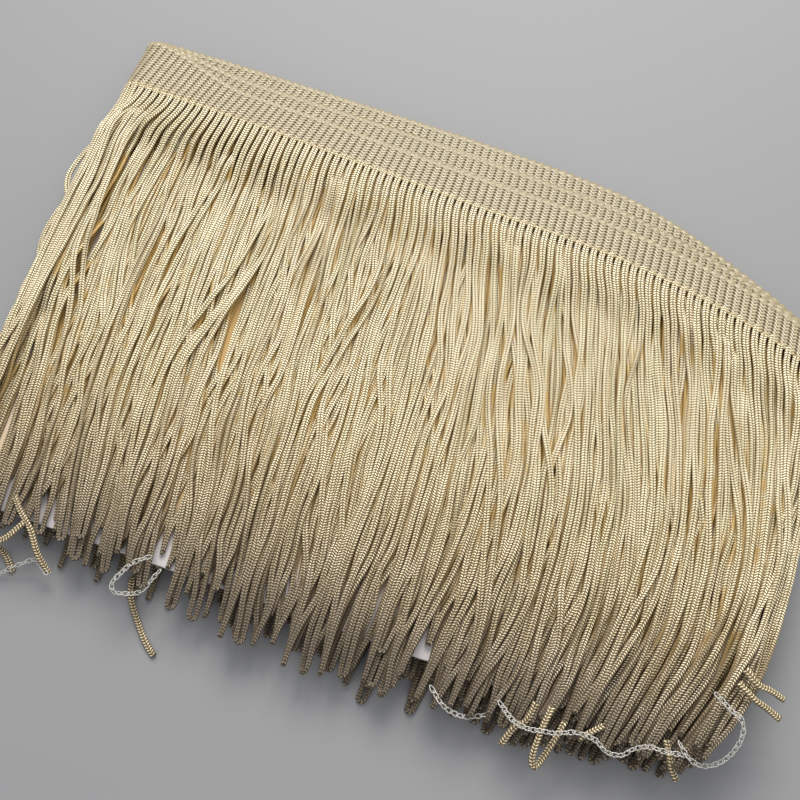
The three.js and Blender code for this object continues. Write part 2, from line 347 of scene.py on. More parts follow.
def speckle(start, scale, detail):
    """Noise over the object's own space, from 0 to 1."""
    coordinates = Socket(start.tree, start.node("ShaderNodeTexCoord").outputs["Object"])
    made = start.node("ShaderNodeTexNoise", Scale=scale, Detail=detail, Vector=coordinates)
    return Socket(start.tree, made.outputs["Fac"])


def plug(shader, name, value):
    """Link a socket to one input of a material's shader."""
    value.tree.links.new(value.socket, shader.inputs[name])


def relief(start, height, strength, depth_mm):
    """A bump of so many millimetres, for the shader's Normal."""
    made = start.node("ShaderNodeBump", Height=height, Strength=strength, Distance=depth_mm * MM)
    return Socket(start.tree, made.outputs["Normal"])


# %% [markdown]
# Chainette cord is a tiny knitted tube pressed flat. From above it shows two columns of slanted
# stitches that meet in a V down the middle, each stitch lit on its crest and dark at its foot.
# The cord's own numbers place them: millimetres along it, and -1 to 1 across it. Stitches this
# fine would need millions of faces, so they are a bump on a cord whose two lobes are real, and their
# lit crests and shaded feet are painted into the colour, as is the shade in the groove and at the
# cord's edges.
# Deep in the pile light has bounced from yarn to yarn, which makes ivory look golden there, and the
# slope towards the tips is in shade. A pile of such yarn would need very many bounces for that, so
# each point also knows how deep it lies and how near to the tips, and that golden light and that
# shade are painted into its colour.

# %% Cord material
STITCH = 0.78  # millimetres along the cord
STITCH_SLANT = 0.62  # how far, in stitches, the cord's edge lags behind its middle
WARM_CREAM = (1.0, 0.87, 0.59)
COOL_CREAM = (0.97, 0.89, 0.58)
SHADED_CREAM = (0.92, 0.71, 0.38)  # near the tips
# The dark feet of the stitches are painted shade.
STITCH_FOOT_SHADE = (0.19, 0.12, 0.022)
SHADED_FOOT = (0.035, 0.018, 0.003)
# Golden light bounced deep in the pile, painted into the colour; near the tips it becomes painted
# shade.
BOUNCE_GOLD = (0.50, 0.29, 0.045)
SHADED_DEPTH = (0.06, 0.03, 0.005)


def cord_material(name):
    made, shader, start = material(name, Sheen_Weight=0.05, Sheen_Roughness=0.35,
                                   Specular_IOR_Level=0.9)
    across = read(start, "across").absolute()
    tip_shade = read(start, "tip_shade")
    phase = read(start, "along") / STITCH + across * STITCH_SLANT
    stitch = (phase * (2 * math.pi)).wave()
    # Painted light and shade: only the crests of the stitches take the lit cream, and the groove down
    # the cord's middle and its edges are darker, the edges more so towards the tips.
    lobe = across.between(0.0, 0.22) * (1 - across.between(0.7, 1.0) * (0.6 + tip_shade * 0.35))
    lit = (stitch - tip_shade * 0.4).between(0.2, 0.66 - tip_shade * 0.26) * lobe
    grain = speckle(start, 1100.0, 1.0)
    # Painted shade towards the tips: the stitches darken there, and the painted shade at their feet,
    # the cream and the golden depths all turn darker.
    shade = lit * (0.45 + grain * 1.1) * (1 - tip_shade ** 5 * 0.75)
    foot_shade = tip_shade.tint(STITCH_FOOT_SHADE, SHADED_FOOT)
    depth_light = tip_shade.tint(BOUNCE_GOLD, SHADED_DEPTH)
    cream = read(start, "tone").tint(WARM_CREAM, COOL_CREAM)
    yarn = shade.tint(foot_shade, (tip_shade * 0.9).tint(cream, SHADED_CREAM))
    # The golden bounced light, painted over the yarn where a point lies deep.
    plug(shader, "Base Color", read(start, "deep").tint(yarn, depth_light))
    plug(shader, "Roughness", 0.78 - lit * 0.5)
    plug(shader, "Normal", relief(start, lit + grain * 0.2, 1.0, 0.38))
    return made


cord_paint = cord_material("ivory_chainette")
print("cord stitches per 10 mm:", round(10 / STITCH, 1))

# %% [markdown]
# The tape is knitted of the same yarn, yet its cream is painted darker than the cords', as shade,
# and darker still on the inner turns. Each rib is two columns of slanted stitches, with a groove of
# small dark holes between ribs and a finer line down each rib's middle, all of that darkness painted
# shade. Its top edge is a smoother turned thread. At its lower edge the grooves open between the
# cords, where the golden light bounced between them is painted in.

# %% Tape material
TAPE_STITCH = 1.0
TAPE_SLANT = 0.8
# The tape's creams are painted darker than the cords' same yarn, as shade, the inner turns more so.
INNER_CREAM_IN_SHADE, OUTER_CREAM_IN_SHADE = (0.48, 0.40, 0.23), (0.55, 0.455, 0.275)
# Painted shade in the holes, and the golden light bounced between the cords painted at the tape's
# lower edge.
HOLE_SHADE, LOWER_BOUNCE_GOLD = (0.07, 0.045, 0.01), (0.32, 0.2, 0.055)


def tape_material():
    made, shader, start = material("knitted_heading", Sheen_Weight=0.05, Sheen_Roughness=0.35,
                                   Specular_IOR_Level=0.7)
    turn = read(start, "along") * (math.pi / PITCH)
    down = read(start, "across")
    from_groove = turn.sine().absolute()
    from_middle = (turn + math.pi / 2).sine().absolute()
    stitch = ((down / TAPE_STITCH + from_middle * TAPE_SLANT) * (2 * math.pi)).wave()
    # The holes, the grooves between ribs and the line down each rib's middle are darkened: painted
    # shade.
    hole = 1 - stitch.between(0.2, 0.75)
    groove = 1 - from_groove.between(0.1, 0.62)
    seam = 1 - from_middle.between(0.05, 0.35)
    dark = groove * (0.6 + hole * 0.4) + hole * 0.55 + seam * hole * 0.35
    body = down.between(0.5, 1.3)
    open_stitch = 0.9 + read(start, "outer") * 0.1
    lit = 1 - dark * (0.2 + body * 0.8) * open_stitch
    grain = speckle(start, 1000.0, 1.0)
    shade = lit * (0.5 + grain * 0.6) * (0.72 + body * 0.28)
    # The painted shaded cream of the heading.
    cream = read(start, "outer").tint(INNER_CREAM_IN_SHADE, OUTER_CREAM_IN_SHADE)
    # Painted shade in the holes, golden with painted bounced light at the lower edge.
    hole_shade_and_glow = read(start, "lower").tint(HOLE_SHADE, LOWER_BOUNCE_GOLD)
    plug(shader, "Base Color", shade.tint(hole_shade_and_glow, cream))
    plug(shader, "Roughness", 0.75 - lit * 0.42)
    plug(shader, "Normal", relief(start, lit + grain * 0.2, 1.0, 0.3))
    return made


tape_paint = tape_material()
print("tape stitches per 10 mm:", round(10 / TAPE_STITCH, 1))

# %% [markdown]
# The tape's form is worked out on a grid that is bent round the route: every rib stands proud with
# a groove each side, and each ends at the top in its own little loop. At the left end the ribs fan
# out with the cords, so the rows are sheared there, and the outer turns are pulled up wider.

# %% Knit the heading tape
RIB_COLUMNS = 5  # columns of points to a rib
OUTER_ROWS = np.linspace(0, HEADING_WIDTH, 19)
INNER_ROWS = np.array([HEADING_WIDTH - 0.3, HEADING_WIDTH / 2, 0.3])
FAN = [-119, -60, 0, 60, 111], [-0.34, -0.2, 0.04, 0.05, 0.08]  # lean of the ribs along the card
TAPE_HALF = 0.45  # from the tape's middle to its inner face
SPREAD = 8.0  # how far up the outer turn's top edge is pulled at the left end


def closed_tube_faces(columns, ring):
    """Quads along rings of points, and a fan of triangles over each end."""
    index = np.arange(columns * ring).reshape(columns, ring)
    near, far = index[:-1], index[1:]
    quads = np.stack([near, far, np.roll(far, -1, 1), np.roll(near, -1, 1)], -1).reshape(-1, 4)
    fan = [(index[0, 0], index[0, j], index[0, j + 1], index[0, j + 1]) for j in range(1, ring - 1)]
    fan += [(index[-1, 0], index[-1, j + 1], index[-1, j], index[-1, j]) for j in range(1, ring - 1)]
    return np.concatenate([quads, np.array(fan)])


def knit_tape():
    columns = int(TAPE_LENGTH / PITCH) * RIB_COLUMNS + 1
    rows = np.r_[OUTER_ROWS, INNER_ROWS]
    g, v = np.meshgrid(np.linspace(0, TAPE_LENGTH, columns), rows, indexing="ij")
    is_outer = np.arange(len(rows)) < len(OUTER_ROWS)
    upright = np.clip((np.interp(g, route_girth, route_z) - CARD_MIDDLE) / 4, -1, 1)
    fan = smooth(*FAN, np.interp(g, route_girth, route_x)) * upright * v
    rib = np.abs(np.sin(math.pi * g / PITCH)) ** 0.7
    lobes = 0.16 * np.abs(np.sin(2 * math.pi * g / PITCH))
    turned_edge = 0.2 * ramp(-v, -1.2, -0.4)
    relief_out = 0.12 + (0.42 + lobes) * rib + turned_edge
    height = np.where(is_outer, relief_out, -TAPE_HALF)
    loop = 0.5 * rib * ramp(-v, -0.6, 0) + 0.15 * np.sin(g / 17.0)
    slot = 0.7 * (1 - rib) * ramp(v, HEADING_WIDTH - 1.5, HEADING_WIDTH)
    x, turn = np.interp(g, route_girth, route_x), np.interp(g, route_girth, route_turn)
    spread = SPREAD * ramp(-x, 78, 114) * np.clip(turn - 1, 0, 2) / 2
    points, _ = on_tape(g + fan, v - loop - slot - spread * (1 - v / HEADING_WIDTH), height)
    carried = {
        "along": g, "across": v * (1 + spread / HEADING_WIDTH),
        "outer": np.clip(turn - 2, 0, 1), "lower": ramp(v, HEADING_WIDTH - 1.8, HEADING_WIDTH - 0.3),
    }
    carried = {key: data.ravel() for key, data in carried.items()}
    return points.reshape(-1, 3), closed_tube_faces(columns, len(rows)), carried


points, faces, carried = knit_tape()
heading = mesh_object("heading_tape", points, faces, carried, "heading", tape_paint)
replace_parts(heading, "heading_roll")
TAPE_LENGTH * MM

# %% [markdown]
# Now the cords, about seven hundred of them. Simulating them would take hours, and placing them by
# hand would never end, so they are laid one by one, as they were wound. First comes the way each
# would like to go: a lean that all cords of a place share, a slow gathering into locks that
# neighbours share, and a wander of its own.

# %% Sideways paths
rng = np.random.default_rng(20)  # one seed, so each run lays the same pile
LEAN_PLACES = [-112, -95, -77, -20, 40, 90]
LEAN = [  # millimetres to the right per millimetre down, at those places, from the top of the pile
    (85, [-0.30, -0.15, 0.00, 0.00, 0.00, 0.00]),
    (66, [-0.50, -0.28, -0.08, 0.10, 0.10, 0.05]),
    (58, [-0.55, -0.12, -0.02, 0.15, 0.20, 0.12]),
    (46, [-0.02, 0.02, 0.05, 0.13, 0.25, 0.20]),
    (30, [0.12, 0.10, 0.10, 0.12, 0.26, 0.26]),
    (8, [0.08, 0.14, 0.12, 0.12, 0.27, 0.22]),
    (-15, [0.10, 0.18, 0.14, 0.09, 0.18, 0.10]),
    (-35, [0.12, 0.24, 0.20, 0.10, 0.04, -0.10]),
    (-60, [0.10, 0.18, 0.22, 0.08, -0.10, -0.30]),
    (-90, [0.05, 0.14, 0.20, 0.06, -0.14, -0.34]),
]
LEFT_EDGE = (  # the pile's edges: places up the cords, and how far left or right the edge is there
    [-90, -55, -24, 8, 36, 60, 75, 95],
    [-106, -110, -111, -113, -115, -118, -120, -122],
)
RIGHT_EDGE = (
    [-90, -74, -62, -50, -35, -15, 25, 60, 95],
    [94, 102, 106, 110, 112, 113, 114, 113, 113],
)
STEP = 1.2  # millimetres between the points of a path

LOCK_WAVES = [  # locks: wavelength along the card and down the cords, and reach sideways
    (13.0, 90.0, 0.2), (17.0, -110.0, 0.25), (23.0, 130.0, 0.4), (31.0, -120.0, 0.5),
    (44.0, 140.0, 0.7), (70.0, 180.0, 0.9), (19.0, 75.0, 0.18), (27.0, -70.0, 0.22),
]
wave_starts = rng.uniform(0, 2 * math.pi, (TURNS * 2, len(LOCK_WAVES)))


def lean_at(x, y):
    rows = np.array([np.interp(x, LEAN_PLACES, values) for _, values in LEAN])
    return smooth([-row[0] for row in LEAN], rows, -y)


def locks(x, y, layer):
    total = 0 * y
    for (wide, tall, reach), start in zip(LOCK_WAVES, wave_starts[layer]):
        total = total + reach * np.sin(2 * math.pi * (x / wide + y / tall) + start)
    return total


def wander(y, reach):
    total = 0 * y
    for length, share in ((150.0, 1.0), (80.0, 0.6), (45.0, 0.35), (26.0, 0.12)):
        total = total + share * rng.normal() * np.sin(2 * math.pi * y / length + rng.uniform(0, 6.28))
    return reach * total


def soft_limit(x, edge, side, softness=5.0):
    """Cords that would pass the pile's edge crowd up just inside it."""
    inside = side * (x - edge) / softness
    return edge + side * softness * np.logaddexp(0, inside)


print("lean of the middle cords:", lean_at(-20, np.array([60.0, 0.0, -60.0])).round(2))

# %% [markdown]
# A height map of the floor remembers what lies there, in cells of half a millimetre. It answers one
# question: how high would a cord rest here? Asking a map is far quicker than asking every cord that
# was laid before.

# %% The pile's height map
CORD_HALF = 0.84  # half the cord's width
CORD_RISE = 0.55  # half its thickness
SETTLE = 0.85  # how much of its thickness a cord keeps where it lies on others
CELL = 0.5
MAP_LEFT, MAP_LOW, MAP_WIDE, MAP_TALL = -140.0, -105.0, 280.0, 210.0
LYING = CORD_RISE + 0.05  # how high the middle of a cord is where it lies on the floor
height_map = np.zeros((int(MAP_WIDE / CELL), int(MAP_TALL / CELL)))


def cell(x, y):
    i = np.clip(((x - MAP_LEFT) / CELL).astype(int), 0, height_map.shape[0] - 1)
    j = np.clip(((y - MAP_LOW) / CELL).astype(int), 0, height_map.shape[1] - 1)
    return i, j


def running_mean(values, width):
    pad = width // 2
    padded = np.pad(values, [(0, 0)] * (values.ndim - 1) + [(pad + 1, pad)], mode="edge")
    total = np.cumsum(padded, -1)
    return (total[..., width:] - total[..., :-width]) / width


def half_section(across):
    """How far a settled cord's rounded face is from its middle, at a distance across it."""
    return CORD_RISE * SETTLE * np.sqrt(1 - (across / (CORD_HALF * 1.02)) ** 2)


def ground_under(x, y):
    """How high the middle of a cord would rest at each point of a path."""
    offsets = np.array([-0.8, -0.4, 0, 0.4, 0.8]) * CORD_HALF
    underside = half_section(offsets)
    below = np.array([height_map[cell(x + o, y)] + u for o, u in zip(offsets, underside)])
    return np.maximum(0.6 * below.max(0) + 0.4 * below.mean(0), LYING)


print("cords to the centimetre, side by side:", round(5 / CORD_HALF, 1))

# %% [markdown]
# A new cord slides a little sideways to the lowest ground within its reach, as a real one rolls off
# its neighbour's back, and that is what packs cords side by side. The way there is found as a walker
# would plan it: from each point back, the cheapest sum of climbing and stepping sideways. Then the
# cord rests on the map, bridges the dips that it is too stiff to follow, and is stamped into the map
# for the next one.

# %% Sliding and resting
SHIFTS = np.linspace(-1.3, 1.3, 13)
SIDESTEP = 0.03  # what a step sideways costs the walker
STIFF = 0.028  # how sharply a cord can sag between two points that carry it
COME_DOWN = 18.0  # way that a cord takes from the tape's height to the pile's


def slide_to_low_ground(x, y, free):
    ground = running_mean(np.array([ground_under(x + s, y) for s in SHIFTS]), 5)
    rows = np.arange(len(SHIFTS))
    step_cost = SIDESTEP * (rows[:, None] - rows[None, :]) ** 2
    cost, came_from = ground[:, 0], []
    for column in ground.T[1:]:
        total = cost[None, :] + step_cost
        best = total.argmin(1)
        came_from.append(best)
        cost = total[rows, best] + column
    way = [int(cost.argmin())]
    for best in reversed(came_from):
        way.append(int(best[way[-1]]))
    return x + free * running_mean(SHIFTS[way[::-1]], 13)


def rest(x, y, root_z=None, hold=0.0, ceiling=None):
    """Rest a path on the height map and stamp it in. Returns the heights of the cord's middle."""
    under = ground_under(x, y)
    if root_z is not None:
        under[0] = root_z
    path = np.r_[0, np.cumsum(np.hypot(np.diff(x), np.diff(y)))]
    bridge = (under[None, :] - STIFF * (path[:, None] - path[None, :]) ** 2).max(1)
    z = np.maximum(running_mean(bridge, 3), LYING)
    if root_z is not None:
        held = 1 - ramp(path, hold, hold + COME_DOWN)
        z = root_z * held + z * (1 - held)
    if ceiling is not None:
        z = np.minimum(z, ceiling - CORD_RISE)
    fine = np.linspace(0, len(x) - 1, 3 * len(x))
    fx, fy, fz = (np.interp(fine, np.arange(len(x)), q) for q in (x, y, z))
    for o in np.linspace(-1, 1, 9) * CORD_HALF:
        np.maximum.at(height_map, cell(fx + o, fy), fz + half_section(o))
    return z


print("a cord slides sideways at most, mm:", SHIFTS.max())

# %% [markdown]
# The cords are folded double: a cord goes down, turns at its tip, and comes back up to the next
# rib. So they are laid in pairs that meet at their tips, side by side or one leg over the other.
# A few strays cross the rest, as they do where a hand has stroked the bundle.

# %% One folded cord
CORD_LENGTH = 150.0  # one leg, from the heading to the tip
ROOT_TUCK, ROOT_OUT = 1.2, 0.15  # how far a root is up under the tape's edge, and out
FREE = (2.0, 46.0)  # below the heading, where a cord comes free of its rib
TIP_PLACES = [-119, -90, -60, -20, 40, 70, 85, 95, 108]
LONGEST = [-71, -76, -80, -83, -80, -77, -75.5, -74, -72]  # tips reach no lower than this
BACK_LONGER = 2.0
TIP_SPREAD = 4.0
STACKED_SHARE = 0.55  # cords whose legs lie one over the other at the tip
BACK_TOP = CARD_UNDER - 0.7
cords = []


def folded_cord(girth, layer, is_front, stray=0.0):
    """Lay both legs of one folded cord that hangs from the tape at a girth."""
    roots, normals = on_tape(np.array([girth, girth + PITCH]), HEADING_WIDTH - ROOT_TUCK, ROOT_OUT)
    centre_x = roots[:, 0].mean()
    share_x = float(np.clip(centre_x, CARD_LEFT, CARD_RIGHT))
    root_y = roots[:, 1].mean()
    # the tips of the cords right of the middle land further right than their roots
    reach = centre_x + 12.0 * ramp(centre_x, -20, 40) * (1 - ramp(centre_x, 70, 104))
    longest = smooth(TIP_PLACES, LONGEST, reach) - (0 if is_front else BACK_LONGER)
    tip_y = max(root_y - CORD_LENGTH, longest) + abs(rng.normal()) * TIP_SPREAD
    y = np.linspace(root_y, tip_y, int((root_y - tip_y) / STEP) + 1)
    down = root_y - y
    free = ramp(down, *FREE)
    shared = centre_x + np.cumsum(lean_at(share_x, y)) * (y[0] - y[1])
    shared = shared + free * (locks(centre_x, y, layer) + wander(y, 0.8))
    shared = shared + stray * ramp(down, rng.uniform(15, 45), rng.uniform(75, 125))
    closing = ramp(-y, -tip_y - rng.uniform(8, 40), -tip_y)
    tip_half = rng.uniform(0.1, 0.35) if rng.random() < STACKED_SHARE else CORD_HALF
    covered = root_y + HEADING_WIDTH - smooth(SELVEDGE_PLACES, SELVEDGES["outer"], centre_x)
    legs = []
    for leg, side in ((0, -1), (1, 1)):
        apart = (roots[leg, 0] - centre_x) * (1 - free) + side * PITCH / 2 * free * (1 - closing)
        x = shared + apart + free * (1 - closing) * wander(y, 0.5) + side * closing * tip_half
        x = soft_limit(x, smooth(*LEFT_EDGE, y) + rng.uniform(0, 3), 1)
        x = soft_limit(x, smooth(*RIGHT_EDGE, y) - rng.uniform(0, 3), -1)
        hold = ramp(down, 0.0, 14.0)
        x = roots[leg, 0] * (1 - hold) + x * hold
        if not stray:
            x = slide_to_low_ground(x, y, free * (1 - closing))
        z = rest(x, y, roots[leg, 2], max(covered, 0) + 1.0, None if is_front else BACK_TOP)
        legs.append(np.stack([x, y, z], -1))
    cords.append({"legs": legs, "normals": normals, "layer": layer, "fine": is_front})


print("the front's tips reach down to y =", min(LONGEST), "mm")

# %% [markdown]
# They are laid from the floor up: the back of the outermost turn first, then inward to the card, the
# card itself, and the fronts from the first turn outward. On the front neighbouring turns have
# worked into each other, so their order is shuffled a little.

# %% Lay all the cords
pair_girths = PITCH / 2 + 2 * PITCH * np.arange(int(TAPE_LENGTH / (2 * PITCH)))
pair_x, pair_z, pair_turn = (
    np.interp(pair_girths + PITCH / 2, route_girth, v) for v in (route_x, route_z, route_turn))
beside_card = (pair_x > CARD_LEFT - 0.5) & (pair_x < CARD_RIGHT + 0.5)
is_back = (pair_z < CARD_MIDDLE) & beside_card
pair_layer = np.round(pair_turn).astype(int)
STRAY_SHARE, STRAY_REACH = 0.06, 6.0
is_stray = rng.random(len(pair_girths)) < STRAY_SHARE
stray = np.where(is_stray, rng.normal(0, STRAY_REACH, len(pair_girths)), 0)

for k in np.argsort(-pair_turn, kind="stable"):
    if is_back[k]:
        folded_cord(pair_girths[k], TURNS + pair_layer[k], False)

plate_i, plate_j = cell(np.array([CARD_LEFT, CARD_RIGHT]), np.array([CARD_LOWER, CARD_UPPER]))
height_map[plate_i[0]:plate_i[1], plate_j[0]:plate_j[1]] = CARD_TOP

when = pair_layer * 0.45 + rng.random(len(pair_girths)) * beside_card + 2 * (stray != 0)
for k in np.argsort(when, kind="stable"):
    if not is_back[k]:
        folded_cord(pair_girths[k], pair_layer[k], True, stray[k])
print(len(cords), "folded cords laid, pile top", round(height_map.max(), 2), "mm, middle",
      round(float(np.median(height_map[180:360, 150:300])), 2), "mm")

# %% [markdown]
# Each cord is a flat tube. On the front it has a groove down both faces, which gives it its two
# lobes. The cords of the back are plainer, because little of them ever shows. Every point also gets
# the numbers that the cord's material reads.

# %% Cord tube
FINE_SECTION = np.array([(-1, 0), (-0.82, 0.72), (-0.42, 1), (0, 0.62), (0.42, 1), (0.82, 0.72),
                         (1, 0), (0.82, -0.72), (0.42, -1), (0, -0.62), (-0.42, -1), (-0.82, -0.72)])
PLAIN_SECTION = np.array([(-1, 0), (-0.5, 0.95), (0.5, 0.95), (1, 0), (0.5, -0.95), (-0.5, -0.95)])


def lengths_along(line):
    return np.r_[0, np.cumsum(np.linalg.norm(np.diff(line, axis=0), axis=1))]


def evenly(line, spacing):
    """The same line with evenly spaced points."""
    path = lengths_along(line)
    at = np.linspace(0, path[-1], max(int(path[-1] / spacing), 4) + 1)
    return np.stack([np.interp(at, path, line[:, i]) for i in range(3)], -1)


def unit(vectors):
    return vectors / np.linalg.norm(vectors, axis=-1, keepdims=True)


def depth_below(line):
    """0 at the top and the sides of the pile, near 1 where a whole cord or more lies above."""
    x, y, z = line.T
    cover = height_map[cell(x, y)] - z - CORD_RISE * SETTLE
    from_side = np.minimum(x - smooth(*LEFT_EDGE, y), smooth(*RIGHT_EDGE, y) - x)
    return np.clip(cover / 1.3 - 0.15, 0, 0.9) * ramp(from_side, 2, 9)


def tube(line, side, up, section, roll, deep=0.0, slim=0.0, tip_shade=1.0):
    """Rings of a flat cord along a line, with the numbers that its material reads.

    slim is how much narrower it is at its middle, where a folded cord has its tip. Both its ends
    are wider by about half of that, where they leave the tape. dull is its share of the shade
    near the tips."""
    path = lengths_along(line)
    roll = np.broadcast_to(roll, path.shape)[:, None]
    across = side * np.cos(roll) + up * np.sin(roll)
    through = up * np.cos(roll) - side * np.sin(roll)
    width = CORD_HALF * (1 + 0.05 * np.sin(path / 3.1 + rng.uniform(0, 6)))
    width *= 1 - slim * np.exp(-((path - path[-1] / 2) / 7) ** 2)
    width *= 1 + slim * 0.6 * np.exp(-(np.minimum(path, path[-1] - path) / 16) ** 2)
    rings = (line[:, None] + across[:, None] * (section[None, :, :1] * width[:, None, None])
             + through[:, None] * (section[None, :, 1:] * CORD_RISE))
    sides = len(section)
    values = {
        "along": np.repeat(path, sides) + rng.uniform(0, 5),
        "across": np.tile(section[:, 0], len(rings)),
        "tone": np.full(len(rings) * sides, rng.random()),
        # How much of the golden bounced light is painted on each point.
        "deep": np.repeat(np.broadcast_to(deep, path.shape), sides),
        # How much of the shade painted towards the tips each point takes.
        "tip_shade": np.repeat(ramp(-line[:, 1], 0, 78) * tip_shade, sides),
    }
    return rings.reshape(-1, 3), closed_tube_faces(len(rings), sides), values


print("points to a ring, front and back:", len(FINE_SECTION), len(PLAIN_SECTION))

# %% [markdown]
# A folded cord is one line: down a leg, round the tip and up the other leg. Where it leaves the tape
# it faces out as the tape does, and lower down it lies flat. It rolls a little as it goes, so some
# cords show an edge.

# %% Folded tube
FINE_SPACING, PLAIN_SPACING = 2.2, 4.0  # between the rings of a front cord and of a back one
TIP_ANGLES = (0.6, 1.2, 1.57, 1.94, 2.54)
SLIM_TIP = 0.25


def folded_tube(cord):
    """Down one leg, round the tip and up the other."""
    first, second = cord["legs"]
    middle = (first[-1] + second[-1]) / 2
    spoke = first[-1] - middle
    down = np.array([0, -1.0, 0]) * np.linalg.norm(spoke)
    bend = [middle + spoke * math.cos(a) + down * math.sin(a) for a in TIP_ANGLES]
    spacing = FINE_SPACING if cord["fine"] else PLAIN_SPACING
    legs = evenly(first, spacing), evenly(second[::-1], spacing)
    line = np.concatenate([legs[0], bend, legs[1]])
    tangent = unit(np.gradient(line, axis=0))
    path = lengths_along(line)
    total = path[-1]
    n_first, n_last = cord["normals"]
    up = np.zeros_like(line)
    up[:, 2] = 1.0 if n_first[2] >= 0 else -1.0
    for normal, hold in ((n_first, np.exp(-path / 9)), (n_last, np.exp(-(total - path) / 9))):
        up = up * (1 - hold[:, None]) + normal * hold[:, None]
    side = np.cross(tangent, up)
    if abs(spoke[2]) > abs(spoke[0]):  # one leg lies over the other, so the cord turns over
        before = len(legs[0])
        side[before + len(bend):] *= -1
        side[before:before + len(bend)] = side[before - 1]
    side = unit(side - tangent * (side * tangent).sum(-1, keepdims=True))
    up = np.cross(side, tangent)
    roll = 0.4 * rng.normal() * np.sin(path / rng.uniform(12, 24) + rng.uniform(0, 6.28))
    roll += 0.3 * rng.normal() * np.sin(path / rng.uniform(5, 9) + rng.uniform(0, 6.28))
    if rng.random() < 0.25:
        roll += 1.3 * np.exp(-((path - rng.uniform(20, total - 20)) / rng.uniform(6, 16)) ** 2)
    roll *= ramp(np.minimum(path, total - path), 2, 20) * ramp(np.abs(path - total / 2), 3, 12)
    # How much golden bounced light is painted on, from how deep each point lies.
    deep = depth_below(line) if cord["fine"] else 0.0
    section = FINE_SECTION if cord["fine"] else PLAIN_SECTION
    return tube(line, side, up, section, roll, deep, SLIM_TIP)


print("rings down one front cord:", int(2 * CORD_LENGTH / FINE_SPACING))

# %% [markdown]
# The cords of one turn make one piece, front and back apart, and two such pieces stand for one packed
# solid. A scene of eight big meshes is also far quicker to load and render than one of several
# hundred small ones.


# %% Cord pieces
def joined(parts):
    """One mesh's arrays from many small ones."""
    points, faces, values, offset = [], [], {}, 0
    for part_points, part_faces, part_values in parts:
        points.append(part_points)
        faces.append(part_faces + offset)
        offset += len(part_points)
        for key, data in part_values.items():
            values.setdefault(key, []).append(data)
    values = {key: np.concatenate(data) for key, data in values.items()}
    return np.concatenate(points), np.concatenate(faces), values


for layer, name, node in (
    (3, "cords_front_fourth_turn", "fringe_front_outer"),
    (2, "cords_front_third_turn", "fringe_front_outer"),
    (1, "cords_front_second_turn", "fringe_front_inner"),
    (0, "cords_front_first_turn", "fringe_front_inner"),
    (7, "cords_back_fourth_turn", "fringe_back_outer"),
    (6, "cords_back_third_turn", "fringe_back_outer"),
    (5, "cords_back_second_turn", "fringe_back_inner"),
    (4, "cords_back_first_turn", "fringe_back_inner"),
):
    row = joined([folded_tube(cord) for cord in cords if cord["layer"] == layer])
    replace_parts(mesh_object(name, *row, "strands", cord_paint), node)

# %% [markdown]
# A few cords have worked loose. Three loops bulge out at the left side, and at the lower edge cut
# ends and loops stick out of the chain. Their routes are short lists of points, chosen from where the
# real ones lie.

# %% Loose loops and ends
SIDE_LOOPS = [
    [(-116, 53, 9), (-119, 45, 8), (-120, 39, 8), (-120, 34, 8), (-118, 29, 8), (-114, 24, 8),
     (-108, 18, 9)],
    [(-114, 37, 7), (-118, 28, 5), (-119, 21, 5), (-119, 14, 5), (-117, 7, 5), (-113, 0, 6)],
    [(-113, -5, 4), (-116, -9, 3), (-116, -15, 3), (-115, -20, 3), (-112, -26, 3)],
]
# Loose cords take less of the shade painted towards the tips.
LOOSE_TIP_SHADE = 0.72  # lying free, they get more light than the tips of the pile
LOOSE_ENDS = [
    [(-49, -74), (-47, -79), (-43, -84), (-39, -88), (-35, -91)],
    [(61, -72), (60, -77), (58, -79), (57, -81), (56, -84)],
    [(65, -72), (64, -80), (64, -85), (65, -86.5), (67, -82), (69, -74)],
    [(78, -72), (75, -75), (73, -77)],
    [(93, -70), (95, -74), (96, -76), (98, -78)],
    [(106, -49), (110, -51.5), (113, -51.5), (117, -52)],
    [(105, -53), (110, -55.5), (113, -56), (117, -57)],
    [(-85, -66), (-82, -69), (-77, -73), (-73, -78), (-69, -81)],
    [(-86, -74), (-86, -78), (-83, -78), (-81, -76), (-79, -72)],
    [(-104, -68), (-98, -74), (-92, -78), (-85, -79), (-80, -83)],
]


def curve(points):
    """A smooth line through a few chosen points."""
    points = np.asarray(points, float)
    path = lengths_along(points)
    at = np.linspace(0, path[-1], int(path[-1] / STEP) + 2)
    return np.stack([smooth(path, points[:, i], at) for i in range(points.shape[1])], -1)


def lone_tube(line):
    tangent = unit(np.gradient(line, axis=0))
    side = unit(np.cross(tangent, [0, 0, 1.0]))
    path = lengths_along(line)
    roll = 0.5 * np.sin(path / 6 + rng.uniform(0, 6))
    return tube(line, side, np.cross(side, tangent), FINE_SECTION, roll, tip_shade=LOOSE_TIP_SHADE)


def on_the_floor(points):
    flat_line = curve(np.c_[points, np.zeros(len(points))])
    flat_line[:, 2] = rest(flat_line[:, 0], flat_line[:, 1])
    return flat_line


mesh_object("side_loops", *joined([lone_tube(curve(loop)) for loop in SIDE_LOOPS]),
            "strands", cord_paint)
mesh_object("loose_ends", *joined([lone_tube(on_the_floor(end)) for end in LOOSE_ENDS]),
            "strands", cord_paint)

# %% [markdown]
# Until it is sewn on, such a fringe is kept from tangling by a chain stitch of fine thread through
# the tips. It has partly come off, and hangs at the lower edge as a silvery chain. Each link is a
# small loop caught through the one before, so a link is modelled once and set along the route, tilted
# one way and the other.

